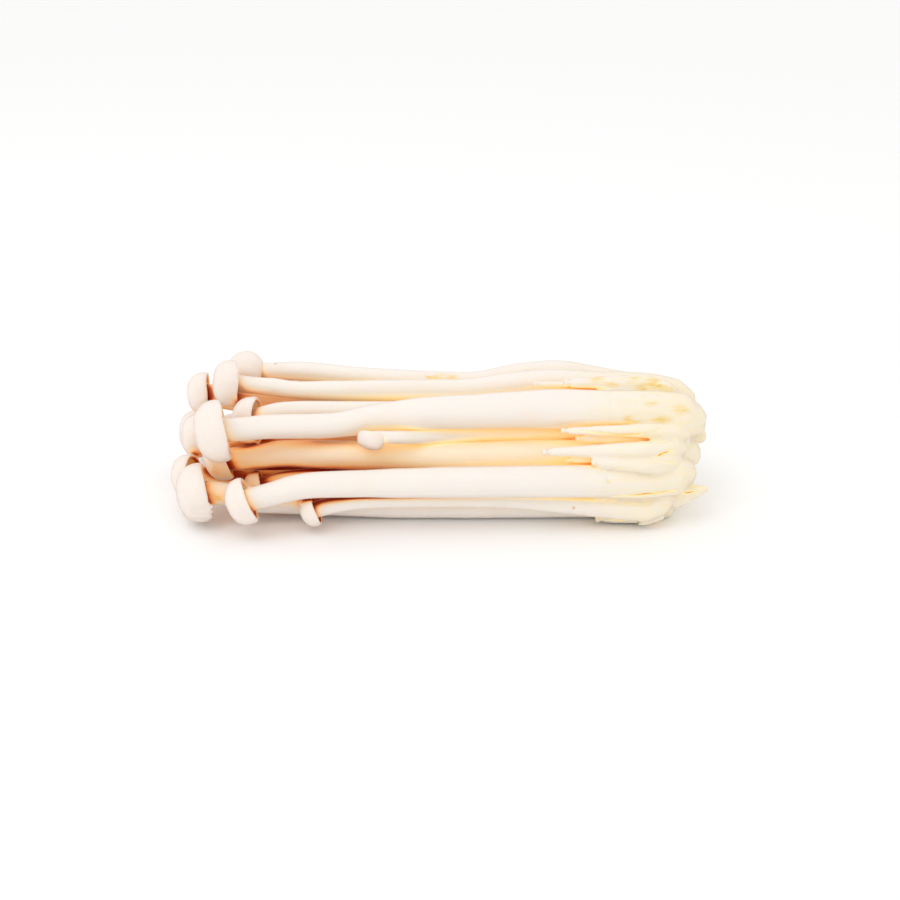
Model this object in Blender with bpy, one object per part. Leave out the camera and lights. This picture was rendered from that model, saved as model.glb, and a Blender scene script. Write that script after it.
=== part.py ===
"""A bunch of white shimeji mushrooms lying on its side.

Metres, +Z up.  The caps are at -X, the torn foot of the bunch is at +X, and the bunch lies on z = 0.
Every mushroom is one solid, cap and stem together.  Its stem ends a hair short of the foot that it grew
from, and the foot is one solid of root ends, button mushrooms and a core, grown into each other.
"""

import math
import random

import bmesh
import bpy
import numpy as np
from mathutils import Matrix, Vector

# Driving dimensions, in millimetres
MM = 0.001
FOOT_START = 55.0        # where the stems run into the foot, on average
FOOT_STAGGER = (-5.0, 3.0)   # how far single stems stop short of it or run past it
SWELL_START = 59.0       # where the root ends begin to swell and meet
FOOT_END = 77.5          # furthest reach of the torn end
FOOT_ROUNDING = 8.0      # how much earlier the outermost root ends stop
FOOT_GATHER = 0.24       # how far root ends lean in to the middle by their tips
FOOT_SINK = 0.5          # the lowest root ends sink this far below the floor, and are cut flat
FOOT_MIDDLE = (4.0, 18.0)    # middle line of the foot (y, z)
END_MIDDLE = (2.0, 22.0)     # the torn end reaches furthest here (y, z)
END_REACH = (26.0, 22.0)     # and is rounded off over these half sizes
CORE_SIZE = (8.0, 17.0, 11.5)    # half sizes of the foot's solid middle
SEAM = 0.3               # gap between a stem's cut face and its root end
# A root end's rings, as (share of its length, size in stem radii, how far it has gathered)
ROOT_SECTIONS = ((0.35, 1.14, 0.25), (0.75, 1.12, 0.6), (1.0, 0.8, 1.0))
ROOT_TIP = 0.3           # its tip stands out this much, in stem radii
ROOT_UNEVEN = 0.07       # its rings are this much thicker or thinner by chance
FLOOR_ROOTS = 1.4        # root ends whose middle is lower than this many radii rest on the floor
STEM_SIDES = 12
CAP_SIDES = 24           # two for each gill
ROOT_SIDES = 10
BUTTON_SIDES = 8
RING_STEP = 13.0         # spacing of a stem's rings, halved near the cap
GILL_RELIEF = 0.055      # height of a gill's ridge, in cap radii
CAP_WAVES = (0.035, 0.02)    # how far caps are out of round, two and three times around
NECK_FLARE = 1.12        # a stem widens this much where it meets the cap
NECK_WIDEST = 0.48       # and reaches this far out under the cap at most, in cap radii

# How the bunch settles: slices square to X, in which the stems and caps are discs that push each other
STATION_STEP = 3.0       # spacing of the slices
SKIN_GAP = 0.6           # least gap between neighbours, before caps are put out of round
FLOOR_GAP = 0.35         # least height above the floor, so that only the foot's resting spot meets it
SLICE_REACH = 0.7        # a slice takes in what is this near, in spacings
PASSES = 900
FREE_PASSES = 150        # the last passes only push
HOLD_ACROSS = 0.16       # pull back to the wanted place, up and down as the bunch is seen
HOLD_ALONG = 0.01        # and along the way it is seen, where a disc may give way
PUSH = 0.7
BUTTON_GIVE = 3.0        # button mushrooms give way this much more easily than stems
SIGHT = np.array([math.cos(math.radians(24.0)), -math.sin(math.radians(24.0))])

# A cap's section from the stem outwards, as (radius, distance to the top) in cap radii
GILL_ROOT = (0.52, 0.10)
GILL_EDGE = (0.84, 0.02)
LIP = (0.95, -0.13)
CAP_EDGE = (1.0, 0.06)
SHOULDER = (0.90, 0.42)
CROWN = (0.56, 0.70)
CROWN_RISE = 0.14

# Each mushroom: cap radius, the cap's turn to the front and upwards in degrees, counted from straight
# along -X, and the stem's way from the gills to the foot as (x, y, z, stem radius).
MUSHROOMS = {
    "mushroom_back_top": (6.4, 44, 40, [
        (-60.7, 27, 31, 2.5), (-55, 28, 31.8, 2.6), (-42, 26, 32.4, 2.75), (-25, 24, 31.4, 2.8),
        (-12, 23, 30.9, 2.9), (10.5, 22.5, 29.4, 3.2), (22, 22, 32.3, 3.6), (30.5, 21, 33.9, 3.9),
        (41, 20, 33.8, 4.1), (55, 18.5, 30, 4.4)]),
    "mushroom_back_upper": (7.0, 12, 5, [
        (-63.2, 13, 31.4, 2.4), (-57, 13.5, 32.9, 2.3), (-52, 13.5, 32.5, 2.5), (-44.5, 14, 30.7, 2.4),
        (-36.5, 14.5, 30.5, 2.7), (-13, 14.5, 30.8, 3.1), (10, 13.5, 30.7, 3.3), (20, 12.5, 32.9, 3.8),
        (30, 12, 34.5, 4.1), (55, 10, 32.6, 4.6)]),
    "mushroom_back_left": (6.6, 4, -2, [
        (-73, 23, 25.1, 2.8), (-56, 23, 23.4, 3.0), (-18.5, 18, 24.8, 3.3), (24, 15, 26, 3.6),
        (55, 15, 25.7, 4.2)]),
    "mushroom_top_large": (9.05, 10, -8, [
        (-63.3, -8, 27.3, 3.1), (-50, -7, 28, 3.4), (-30, -5, 27.2, 3.5), (-23, -5, 28.4, 3.85),
        (-14, -4, 29.7, 4.4), (0.5, -3, 30.5, 4.7), (23, -3, 31.6, 5.4), (30, -3, 32, 5.6),
        (55, -4, 31.3, 5.9)]),
    "mushroom_behind_large": (7.4, -8, -4, [
        (-55.8, 5, 27.2, 3.0), (-48, 6, 27.2, 3.0), (-38, 7, 26.8, 3.0), (12, 7, 26.4, 3.2),
        (55, 6, 26.1, 3.8)]),
    "mushroom_left_middle": (6.6, 5, 2, [
        (-74.1, 13, 14.6, 2.9), (-55, 12, 15.3, 3.2), (-18, 9, 16.6, 3.6), (24, 7, 17.5, 4.0),
        (55, 6, 18.6, 4.4)]),
    "mushroom_left_tip": (6.6, -13, -12, [
        (-75.3, 1, 9.6, 2.8), (-55, 3, 5.0, 3.4), (-18, 3, 5.0, 4.2), (24, 3, 5.0, 4.6),
        (55, 3, 5.2, 4.8)]),
    "mushroom_front_low": (8.6, 12, -5, [
        (-69.5, -12, 11, 3.1), (-63.5, -11, 7.1, 3.1), (-53.7, -10.5, 6, 3.7), (-41.5, -10.2, 5.5, 4.1),
        (-29.5, -10.2, 5.3, 4.3), (-1, -10.2, 4.7, 4.5), (29.5, -10, 4.6, 4.55), (55, -9.5, 4.9, 4.7)]),
    "mushroom_front": (6.8, 8, -20, [
        (-55.3, -21, 10.2, 2.8), (-49.5, -20, 12.5, 3.2), (-44.5, -19.5, 13.8, 3.4), (-40, -19, 14.4, 3.5),
        (-23, -18.5, 15, 3.65), (-11.5, -18, 14.9, 4.0), (-3, -18, 15.1, 4.2), (21, -17, 14.8, 4.5),
        (55, -16, 14.3, 4.6)]),
    "mushroom_shaded": (6.2, 15, -22, [
        (-65.3, 1, 12.2, 3.0), (-61, 0, 12.8, 3.2), (-57, -1, 15.2, 3.3), (-53, -2, 16.7, 3.4),
        (-46, -3.5, 18.1, 3.7), (-34.5, -4.5, 17.9, 4.0), (-14.5, -5, 17.4, 4.4), (-2, -5.5, 17.3, 4.4),
        (29.5, -6, 18, 4.6), (55, -7, 18.5, 4.7)]),
    "mushroom_in_gap": (5.4, 4, -10, [
        (-54, -5, 9.1, 2.3), (-46, -5.5, 10, 2.4), (-35.7, -4, 10.8, 2.5), (-12, -2.5, 9.9, 2.6),
        (55, -2, 10.3, 2.9)]),
    "mushroom_small_front": (4.8, 5, -20, [
        (-36.4, -19, 7.7, 2.2), (-33.5, -18.5, 7.9, 2.2), (-23, -17, 9, 2.2), (0.5, -16.5, 9, 2.2),
        (19, -16.5, 9.7, 2.3), (38, -16.5, 8.1, 2.7), (55, -15, 5.7, 3.2)]),
    "mushroom_left_back": (6.7, -5, 0, [
        (-77, 25, 12.3, 2.9), (-44, 21, 12.7, 3.3), (-12.5, 18, 13.7, 3.9), (24.5, 15, 14.5, 4.4),
        (55, 14.5, 15.8, 4.7)]),
    "mushroom_young": (4.1, 70, -48, [
        (-19.8, -8, 26.2, 1.6), (-15.8, -6, 24.5, 1.6), (-8.8, -3, 23.2, 1.7), (-1.8, 0, 21.9, 2.1),
        (12, 1, 21.9, 2.2), (29.5, 0, 22.7, 2.3), (55, -2, 23.4, 2.5)]),
    "mushroom_rear_floor": (7.0, -6, 0, [
        (-66, 33, 7.0, 3.0), (-20, 25, 5, 4.3), (20, 22, 4.9, 4.6), (55, 21, 5.1, 4.8)]),
    "mushroom_under_middle": (5.6, 0, 0, [
        (-58, 13, 6.6, 3.0), (-20, 12.5, 5, 4.3), (20, 12.5, 5, 4.7), (55, 12, 5.1, 4.8)]),
    "mushroom_rear_middle": (6.5, -8, 0, [
        (-52, 33, 20, 2.8), (-20, 28, 14.5, 3.7), (20, 24, 14.5, 4.2), (55, 22.5, 15.5, 4.6)]),
    "mushroom_rear_short": (5.0, -6, 4, [
        (-42, 29, 24, 2.3), (-15, 27, 23, 2.8), (20, 24, 22.5, 3.2), (55, 22.5, 23.5, 3.8)]),
}
# How easily the mushrooms that the bunch is known by give way; the others give way fully
STEADY = {"mushroom_top_large": 0.15, "mushroom_front": 0.2, "mushroom_back_upper": 0.15,
          "mushroom_front_low": 0.2, "mushroom_shaded": 0.2, "mushroom_back_top": 0.4,
          "mushroom_small_front": 0.5, "mushroom_young": 0.5, "mushroom_left_tip": 0.4,
          "mushroom_behind_large": 0.3, "mushroom_back_left": 0.6, "mushroom_left_middle": 0.7}

# Button mushrooms in the grooves of the foot: head radius, stem radius, head place (x, y, z), and the
# place (y, z) and radius of the root end where it runs into the foot
BUTTONS = [
    (1.3, 0.9, (28, 4, 37), (3, 36), 1.4),
    (1.8, 1.5, (37.5, 2, 37.7), (3, 36.5), 2.4),
    (1.1, 0.9, (35.5, -11, 28.3), (-10, 27.6), 2.0),
    (1.2, 1.0, (39.5, -10.5, 25.8), (-11, 25.2), 2.3),
    (1.4, 1.2, (30, -13.5, 22.6), (-12.5, 22.2), 2.4),
    (1.2, 1.0, (37, -16, 21.6), (-14.5, 19.2), 2.0),
    (1.2, 1.0, (44, -16, 20.4), (-15.5, 19), 2.0),
    (1.3, 0.9, (46, -14.5, 1.6), (-13.5, 2.6), 1.5),
    (1.7, 1.2, (36, 27, 30), (23, 28), 2.2),
    (1.6, 1.1, (43, 29, 20), (25, 19), 2.0),
]
BUTTON_HEAD = ((-0.55, 0.5), (-0.25, 1.0), (0.25, 0.95))     # rings (along, radius), in head radii
BUTTON_NECK = 0.6        # its stem begins this far behind the head's middle
BUTTON_HALF_WAY = 0.5    # half-way along, its stem has widened by this share
BUTTON_ROOT_END = -2.0   # buttons' root ends stop this much short of the torn end
# A shred of the foot that stands out at the lower front, as (x, y, z, radius)
FRAYED_TIP = [(64, -11.5, 7, 3.2), (70, -13, 8.5, 3.1), (74.5, -14, 10.3, 1.9), (78.3, -14.3, 11.3, 0.8)]

WHITE_FLESH = (0.93, 0.87, 0.80, 1.0)
SHADED_FLESH = (0.90, 0.78, 0.64, 1.0)
FOOT_FLESH = (0.90, 0.82, 0.62, 1.0)


def flesh_material(name, colour, roughness):
    """Smooth, faintly waxy mushroom flesh."""
    material = bpy.data.materials.new(name)
    material.use_nodes = True
    shader = material.node_tree.nodes["Principled BSDF"]
    shader.inputs["Base Color"].default_value = colour
    shader.inputs["Roughness"].default_value = roughness
    shader.inputs["Metallic"].default_value = 0.0
    return material


def cap_axis(turn, lift):
    """Direction from a cap's gills to its top, for a turn to the front and upwards in degrees."""
    turn, lift = math.radians(turn), math.radians(lift)
    return Vector((-math.cos(lift) * math.cos(turn), -math.cos(lift) * math.sin(turn), math.sin(lift)))


def facing(direction, centre, size=1.0):
    """Matrix that puts a circle at centre with its axis along direction."""
    turn = direction.to_track_quat("Z", "Y").to_matrix().to_4x4()
    return Matrix.Translation(centre) @ turn @ Matrix.Scale(size, 4)


def cap_discs(distances, cap_radius, axis):
    """The discs that cover a cap in slices at the given distances from its gills along X.

    The result gives, by the slice's number, the disc's (y, z) place beside the gills and its radius.
    """
    outline = [axis * ((CROWN[1] + CROWN_RISE) * cap_radius)]
    for out, up in (LIP, CAP_EDGE, SHOULDER, CROWN):
        turn = facing(axis, axis * (up * cap_radius), out * cap_radius)
        for side in range(CAP_SIDES):
            angle = 2.0 * math.pi * side / CAP_SIDES
            outline.append(turn @ Vector((math.cos(angle), math.sin(angle), 0.0)))
    outline = np.array(outline)
    discs = {}
    for number, distance in enumerate(distances):
        near = outline[np.abs(outline[:, 0] - distance) < SLICE_REACH * STATION_STEP, 1:]
        if len(near) > 2:
            middle = 0.5 * (near.min(axis=0) + near.max(axis=0))
            discs[number] = (middle, float(np.linalg.norm(near - middle, axis=1).max()))
    return discs


def settle(parts):
    """Move the discs of each slice off each other and off the floor.

    parts holds (cap radius, cap axis, way, mobility) for each mushroom.  The result is the list of
    slices and each part's centre (y, z) in each slice.
    """
    slices = np.arange(-86.0, FOOT_START + 5.0, STATION_STEP)
    aim = np.zeros((len(slices), len(parts), 2))
    beside = np.zeros((len(slices), len(parts), 2))
    radius = np.zeros((len(slices), len(parts)))
    caps = []
    for column, (cap_radius, axis, way, _) in enumerate(parts):
        xs = [p[0] for p in way]
        aim[:, column, 0] = np.interp(slices, xs, [p[1] for p in way])
        aim[:, column, 1] = np.interp(slices, xs, [p[2] for p in way])
        radius[:, column] = np.interp(slices, xs, [p[3] for p in way]) * (slices >= xs[0])
        discs = cap_discs(slices - xs[0], cap_radius, axis)
        for number, (middle, size) in discs.items():
            beside[number, column] = middle
            radius[number, column] = size
        caps.append(slice(min(discs), max(discs) + 1))
    mobility = np.array([part[3] for part in parts])
    share = mobility[:, None] / (mobility[:, None] + mobility[None, :])
    there = radius > 0
    both = there[:, :, None] & there[:, None, :] & ~np.eye(len(parts), dtype=bool)[None]
    wanted = radius[:, :, None] + radius[:, None, :] + SKIN_GAP
    low = np.where(there, radius - beside[:, :, 1] + FLOOR_GAP, 0.0)
    place = aim.copy()
    for step in range(PASSES):
        if step < PASSES - FREE_PASSES:
            off = aim - place
            along = (off @ SIGHT)[..., None] * SIGHT
            place += HOLD_ACROSS * (off - along) + HOLD_ALONG * along
            smooth = place.copy()
            smooth[1:-1] = 0.5 * place[1:-1] + 0.25 * (place[:-2] + place[2:])
            place = smooth
        centre = place + beside
        away = centre[:, :, None, :] - centre[:, None, :, :]
        distance = np.maximum(np.linalg.norm(away, axis=3), 0.01)
        overlap = np.where(both, np.maximum(0.0, wanted - distance), 0.0)
        push = (away / distance[..., None]) * (overlap * share[None])[..., None]
        place += PUSH * push.sum(axis=2)
        for column, rows in enumerate(caps):
            place[rows, column] = place[rows, column].mean(axis=0)
            sunk = low[rows, column] - place[rows, column, 1]
            place[rows, column, 1] += max(0.0, sunk.max())
        place[:, :, 1] = np.maximum(place[:, :, 1], low)
    return slices, place


def settled_point(slices, column, x):
    """A part's centre at x, read between the slices."""
    return Vector((x, float(np.interp(x, slices, column[:, 0])), float(np.interp(x, slices, column[:, 1]))))


def add_ring(bm, direction, centre, radius, sides):
    """A ring of edges square to direction."""
    made = bmesh.ops.create_circle(bm, segments=sides, radius=1.0, matrix=facing(direction, centre, radius))
    return made["verts"]


def ring_edges(ring):
    """The edges that join the vertices of one ring."""
    members = set(ring)
    return list({edge for vert in ring for edge in vert.link_edges if edge.other_vert(vert) in members})


def close_ring(bm, ring, rise=Vector()):
    """Close a ring with triangles that meet in its middle, moved by rise."""
    face = bmesh.ops.contextual_create(bm, geom=ring_edges(ring))["faces"]
    bmesh.ops.poke(bm, faces=face)["verts"][0].co += rise


def skin_over(bm, rings):
    """Skin a row of rings, each to the next."""
    for first, second in zip(rings[:-1], rings[1:]):
        bmesh.ops.bridge_loops(bm, edges=ring_edges(first) + ring_edges(second))


def finish_object(bm, name, material):
    """Turn a closed bmesh in millimetres into a named object in metres."""
    bmesh.ops.recalc_face_normals(bm, faces=bm.faces)
    bmesh.ops.triangulate(bm, faces=bm.faces)
    bmesh.ops.scale(bm, vec=(MM, MM, MM), verts=bm.verts)
    mesh = bpy.data.meshes.new(name)
    bm.to_mesh(mesh)
    bm.free()
    mesh.shade_smooth()
    mesh.set_sharp_from_angle(angle=math.radians(50))
    mesh.materials.append(material)
    made = bpy.data.objects.new(name, mesh)
    bpy.context.scene.collection.objects.link(made)
    return made


def cap_ring(bm, neck, axis, cap_radius, section, sides, relief, draw):
    """One ring of a cap, slightly out of round, its vertices in turn raised and lowered by relief."""
    out, up = section
    ring = add_ring(bm, axis, neck + axis * (up * cap_radius), out * cap_radius, sides)
    centre = neck + axis * (up * cap_radius)
    for index, vert in enumerate(ring):
        turn = 2.0 * math.pi * index / sides
        wave = CAP_WAVES[0] * math.sin(2.0 * turn + draw) + CAP_WAVES[1] * math.sin(3.0 * turn + 2.0 * draw)
        vert.co = centre + (vert.co - centre) * (1.0 + wave)
        vert.co += axis * (relief * cap_radius * (1 if index % 2 else -1))
    return ring


def add_cap(bm, neck_ring, neck, axis, cap_radius, draw):
    """Gills, inrolled lip and dome, skinned on from the stem's last ring."""
    gill_root = cap_ring(bm, neck, axis, cap_radius, GILL_ROOT, CAP_SIDES, GILL_RELIEF, draw)
    gill_edge = cap_ring(bm, neck, axis, cap_radius, GILL_EDGE, CAP_SIDES, GILL_RELIEF, draw)
    rings = [neck_ring, gill_root, gill_edge]
    for section in (LIP, CAP_EDGE, SHOULDER):
        rings.append(cap_ring(bm, neck, axis, cap_radius, section, CAP_SIDES, 0.0, draw))
    rings.append(cap_ring(bm, neck, axis, cap_radius, CROWN, CAP_SIDES // 2, 0.0, draw))
    skin_over(bm, rings)
    close_ring(bm, rings[-1], axis * (CROWN_RISE * cap_radius))


def seam_x(name):
    """Where a mushroom's stem ends and its root end in the foot begins."""
    return FOOT_START + random.Random("seam of " + name).uniform(*FOOT_STAGGER)


def mushroom(name, spec, slices, column, material):
    """One mushroom: the stem as rings along its settled way, and the cap on its end."""
    cap_radius, turn, lift, way = spec
    axis = cap_axis(turn, lift)
    draw = random.Random(name).uniform(0.0, 2.0 * math.pi)
    neck_x = way[0][0]
    end_x = seam_x(name)
    xs = [neck_x]
    while xs[-1] < end_x - 1.6 * RING_STEP:
        near_cap = xs[-1] < neck_x + 1.3 * RING_STEP
        xs.append(xs[-1] + (0.5 if near_cap else 1.0) * RING_STEP)
    xs += [0.5 * (xs[-1] + end_x), end_x]
    points = [settled_point(slices, column, x) for x in xs]
    bm = bmesh.new()
    rings = []
    for index, point in enumerate(points):
        before = points[max(0, index - 1)]
        after = points[min(len(points) - 1, index + 1)]
        direction = (before - after).normalized()
        if index == 0:
            direction = axis
        if index == len(points) - 1:
            direction = Vector((-1, 0, 0))
        radius = float(np.interp(point.x, [p[0] for p in way], [p[3] for p in way]))
        if index == 0:
            radius = min(NECK_FLARE * radius, NECK_WIDEST * cap_radius)
        rings.append(add_ring(bm, direction, point, radius, STEM_SIDES))
    skin_over(bm, rings)
    add_cap(bm, rings[0], points[0], axis, cap_radius, draw)
    close_ring(bm, rings[-1])
    return finish_object(bm, name, material)


def root_end_x(name, y, z):
    """Where a root end stops: the outer ones stop earlier, so the torn end is rounded."""
    out = math.hypot((y - END_MIDDLE[0]) / END_REACH[0], (z - END_MIDDLE[1]) / END_REACH[1])
    ragged = random.Random("end of " + name).uniform(-1.5, 0.8)
    return FOOT_END + ragged - FOOT_ROUNDING * min(1.2, out) ** 2


def add_root_end(bm, rings, name, met, radius, stop_x):
    """Go on from the last ring with a root end that swells, leans inwards and closes."""
    rng = random.Random(name)
    for share, swell, gather in ROOT_SECTIONS:
        x = met.x + (stop_x - met.x) * share
        y = met.y + (FOOT_MIDDLE[0] - met.y) * gather * FOOT_GATHER
        z = met.z + (FOOT_MIDDLE[1] - met.z) * gather * FOOT_GATHER
        size = radius * swell * (1.0 + rng.uniform(-ROOT_UNEVEN, ROOT_UNEVEN))
        if share < 1.0 and met.z < FLOOR_ROOTS * radius:
            z = size - FOOT_SINK
        rings.append(add_ring(bm, Vector((-1, 0, 0)), Vector((x, y, z)), size, ROOT_SIDES))
    skin_over(bm, rings)
    close_ring(bm, rings[0])
    close_ring(bm, rings[-1], Vector((ROOT_TIP * radius, 0, 0)))


def root_end(name, way, slices, column, material):
    """The end of a stem inside the foot."""
    radius = way[-1][3]
    start = settled_point(slices, column, seam_x(name) + SEAM)
    met = settled_point(slices, column, SWELL_START)
    bm = bmesh.new()
    rings = [add_ring(bm, Vector((-1, 0, 0)), start, radius, STEM_SIDES),
             add_ring(bm, Vector((-1, 0, 0)), met, radius, ROOT_SIDES)]
    add_root_end(bm, rings, name, met, radius, root_end_x(name, met.y, met.z))
    return finish_object(bm, "root_" + name, material)


def button(name, spec, slices, column, material):
    """A button mushroom that lies in a groove and runs into the foot."""
    head_radius, stem_radius, head, _, root_radius = spec
    head_point, half_way, met = [settled_point(slices, column, x)
                                 for x in (head[0], 0.5 * (head[0] + SWELL_START), SWELL_START)]
    bm = bmesh.new()
    rings = []
    for along, out in (*BUTTON_HEAD, (BUTTON_NECK, stem_radius / head_radius)):
        centre = head_point + Vector((along * head_radius, 0, 0))
        rings.append(add_ring(bm, Vector((-1, 0, 0)), centre, out * head_radius, BUTTON_SIDES))
    half_size = stem_radius + BUTTON_HALF_WAY * (root_radius - stem_radius)
    for point, size in ((half_way, half_size), (met, root_radius)):
        rings.append(add_ring(bm, Vector((-1, 0, 0)), point, size, BUTTON_SIDES))
    stop_x = root_end_x(name, met.y, met.z) + BUTTON_ROOT_END
    add_root_end(bm, rings, name, met, root_radius, stop_x)
    return finish_object(bm, name, material)


def frayed_tip(material):
    """The pointed shred at the lower front of the torn end."""
    bm = bmesh.new()
    rings = [add_ring(bm, Vector((-1, 0, 0)), Vector((x, y, z)), radius, BUTTON_SIDES)
             for x, y, z, radius in FRAYED_TIP]
    skin_over(bm, rings)
    close_ring(bm, rings[0])
    close_ring(bm, rings[-1])
    return finish_object(bm, "frayed_tip", material)


def foot_core(material):
    """The small solid middle of the foot, inside the root ends that stand out of it."""
    bm = bmesh.new()
    bmesh.ops.create_icosphere(bm, subdivisions=2, radius=1.0)
    bmesh.ops.scale(bm, vec=CORE_SIZE, verts=bm.verts)
    bmesh.ops.translate(bm, vec=(SWELL_START + CORE_SIZE[0], *FOOT_MIDDLE), verts=bm.verts)
    return finish_object(bm, "core", material)


def floor_cutter():
    """A block under the floor that cuts the foot's resting spot flat."""
    bm = bmesh.new()
    bmesh.ops.create_cube(bm, size=100.0)
    bmesh.ops.translate(bm, vec=(FOOT_START, FOOT_MIDDLE[0], -50.0), verts=bm.verts)
    cutter = finish_object(bm, "floor_cutter", bpy.data.materials["foot_flesh"])
    cutter.hide_render = True
    cutter.display_type = "WIRE"
    return cutter


def keep_outer_body(mesh):
    """Fill sealed hollows and drop loose scraps: only the largest connected skin stays."""
    bm = bmesh.new()
    bm.from_mesh(mesh)
    left = set(bm.verts)
    skins = []
    while left:
        seed = left.pop()
        skin = {seed}
        queue = [seed]
        while queue:
            vert = queue.pop()
            for edge in vert.link_edges:
                other = edge.other_vert(vert)
                if other in left:
                    left.remove(other)
                    skin.add(other)
                    queue.append(other)
        skins.append(skin)
    skins.sort(key=len)
    scraps = [vert for skin in skins[:-1] for vert in skin]
    bmesh.ops.delete(bm, geom=scraps, context="VERTS")
    bmesh.ops.triangulate(bm, faces=bm.faces)
    bm.to_mesh(mesh)
    bm.free()


def apply_modifiers(made):
    """Replace an object's mesh with its evaluated one."""
    graph = bpy.context.evaluated_depsgraph_get()
    mesh = bpy.data.meshes.new_from_object(made.evaluated_get(graph))
    made.modifiers.clear()
    made.data = mesh


def foot(slices, place, columns, material):
    """The foot of the bunch: root ends, button mushrooms and core joined in one solid."""
    pieces = []
    for name, spec in MUSHROOMS.items():
        pieces.append(root_end(name, spec[3], slices, place[:, columns[name]], material))
    for index, spec in enumerate(BUTTONS):
        name = "button_%d" % index
        pieces.append(button(name, spec, slices, place[:, columns[name]], material))
    pieces.append(frayed_tip(material))
    gathered = bpy.data.collections.new("foot_pieces")
    for piece in pieces:
        gathered.objects.link(piece)
    made = foot_core(material)
    made.name = "foot"
    union = made.modifiers.new("Grown together", "BOOLEAN")
    union.operation = "UNION"
    union.operand_type = "COLLECTION"
    union.collection = gathered
    union.solver = "MANIFOLD"
    apply_modifiers(made)
    cutter = floor_cutter()
    flat = made.modifiers.new("Resting spot", "BOOLEAN")
    flat.operation = "DIFFERENCE"
    flat.object = cutter
    flat.solver = "EXACT"
    apply_modifiers(made)
    for piece in pieces + [cutter]:
        bpy.data.objects.remove(piece)
    bpy.data.collections.remove(gathered)
    keep_outer_body(made.data)
    made.data.shade_smooth()
    made.data.set_sharp_from_angle(angle=math.radians(40))
    return made


def centre_on_floor(objects):
    """Shift the whole bunch so that the origin is the bottom centre of its box."""
    corners = np.array([vert.co[:] for made in objects for vert in made.data.vertices])
    low = corners.min(axis=0)
    high = corners.max(axis=0)
    shift = Vector((-(low[0] + high[0]) / 2, -(low[1] + high[1]) / 2, -low[2]))
    for made in objects:
        made.data.transform(Matrix.Translation(shift))


def main():
    """Settle the bunch, then build its mushrooms and its foot."""
    for old in list(bpy.data.objects):
        bpy.data.objects.remove(old)
    flesh = flesh_material("white_flesh", WHITE_FLESH, 0.42)
    shaded = flesh_material("shaded_flesh", SHADED_FLESH, 0.45)
    foot_flesh = flesh_material("foot_flesh", FOOT_FLESH, 0.55)
    parts = []
    columns = {}
    for name, spec in MUSHROOMS.items():
        columns[name] = len(parts)
        parts.append((spec[0], cap_axis(spec[1], spec[2]), spec[3], STEADY.get(name, 1.0)))
    for index, (head_radius, stem_radius, head, root, root_radius) in enumerate(BUTTONS):
        way = [(*head, stem_radius), (SWELL_START, *root, root_radius)]
        columns["button_%d" % index] = len(parts)
        parts.append((head_radius, Vector((-1, 0, 0)), way, BUTTON_GIVE))
    slices, place = settle(parts)
    objects = []
    for name, spec in MUSHROOMS.items():
        material = shaded if name in ("mushroom_shaded", "mushroom_in_gap") else flesh
        objects.append(mushroom(name, spec, slices, place[:, columns[name]], material))
    objects.append(foot(slices, place, columns, foot_flesh))
    centre_on_floor(objects)


main()
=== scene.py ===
import math
import random

import bmesh
import bpy
import numpy as np
from mathutils import Matrix, Vector, noise
from mathutils.bvhtree import BVHTree
from mathutils.geometry import interpolate_bezier


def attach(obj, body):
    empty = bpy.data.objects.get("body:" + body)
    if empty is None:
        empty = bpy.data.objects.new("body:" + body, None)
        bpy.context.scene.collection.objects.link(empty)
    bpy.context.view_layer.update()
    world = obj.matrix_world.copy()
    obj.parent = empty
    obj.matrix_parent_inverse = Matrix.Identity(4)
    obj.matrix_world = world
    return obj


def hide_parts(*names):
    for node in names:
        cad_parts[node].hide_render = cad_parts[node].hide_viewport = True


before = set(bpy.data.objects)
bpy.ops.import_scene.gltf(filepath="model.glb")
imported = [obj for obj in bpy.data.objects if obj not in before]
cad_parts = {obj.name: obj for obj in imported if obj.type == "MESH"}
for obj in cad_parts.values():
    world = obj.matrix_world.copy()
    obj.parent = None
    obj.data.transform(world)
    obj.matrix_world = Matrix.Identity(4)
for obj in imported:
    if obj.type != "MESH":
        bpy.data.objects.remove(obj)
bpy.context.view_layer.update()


# Camera
# The bunch is seen from the front and 24 degrees from above, from 0.46 m away, through a lens a little
# longer than normal, so that the caps are on the left and the torn foot is on the right.

MM = 0.001
LOOK_DOWN = math.radians(24.07)

camera = bpy.data.objects.new("camera", bpy.data.cameras.new("camera"))
camera.data.sensor_width = 36.0
camera.data.lens = 60.0
camera.data.clip_start = 0.01
camera.location = (4.9 * MM, -414.3 * MM, 200.0 * MM)
camera.rotation_euler = (math.radians(90.0) - LOOK_DOWN, 0.0, 0.0)
bpy.context.scene.collection.objects.link(camera)
bpy.context.scene.camera = camera


# The mushrooms
# Eighteen long-stemmed mushrooms that grew from one foot, each cap and stem in one piece of smooth white
# flesh.  A cap is a dome whose edge rolls in over fine gills; a stem is a solid, slightly crooked rod that
# thickens towards the foot.  They lie on each other as they fell.

STEM_SIDES = 36
STEM_RING_GAP = 1.5 * MM
GILL_COUNT = 54
DOME_RINGS = 13
PLUMP = 0.22 * MM        # the soft stems fill out against each other
SEAM_DIP = 0.3 * MM      # how far a stem's last ring dips under the skin of its root end
SEAM_LENGTH = 5.0 * MM   # over which a stem and its root end pass into each other
FLOOR_CLEARANCE = 0.05 * MM
CROWN_POLE_EDGES = 10    # the middle of a crown joins more edges than any other corner
ROW_JOIN = 0.002 * MM    # corners closer than this are one

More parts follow.
